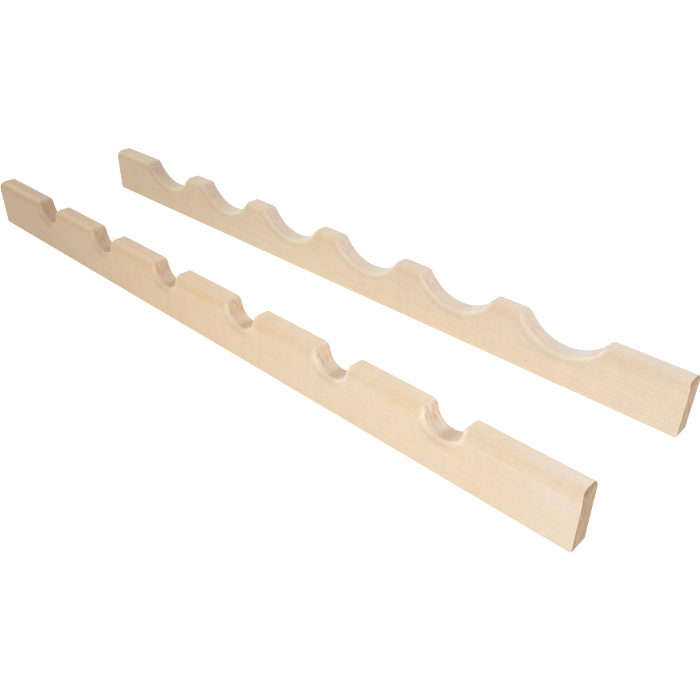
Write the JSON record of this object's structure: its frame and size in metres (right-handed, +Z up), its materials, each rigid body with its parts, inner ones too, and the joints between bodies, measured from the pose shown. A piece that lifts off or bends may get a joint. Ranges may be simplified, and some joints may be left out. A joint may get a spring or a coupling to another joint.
{
  "type": "bottle rack rail pair",
  "caption": "Two parallel wooden rails that hold bottles on their sides: a front rail with narrow neck notches and a back rail with wide body scallops, each rounded over along its top edge",
  "frame": {"origin": "middle of the pair's length and depth, on the surface that both rails stand on", "axes": "+X along the rails to the right, +Y from the notched front rail to the scalloped back rail, +Z up"},
  "size_m": [0.7778, 0.1816, 0.0508],
  "materials": {
    "front_rail_wood": "bare pale maple, planed and sanded, no stain, fine straight grain",
    "back_rail_wood": "bare pale maple, planed and sanded, no stain, fine straight grain with soft waves"
  },
  "bodies": {
    "front_rail": {"notched_neck_rail": "front_rail_wood"},
    "back_rail": {"scalloped_body_rail": "back_rail_wood"}
  },
  "joints": [
    {"name": "rail_spacing", "type": "slide", "parent": "front_rail", "child": "back_rail", "axis": [0, 1, 0], "range_m": [-0.05, 0.05]}
  ]
}
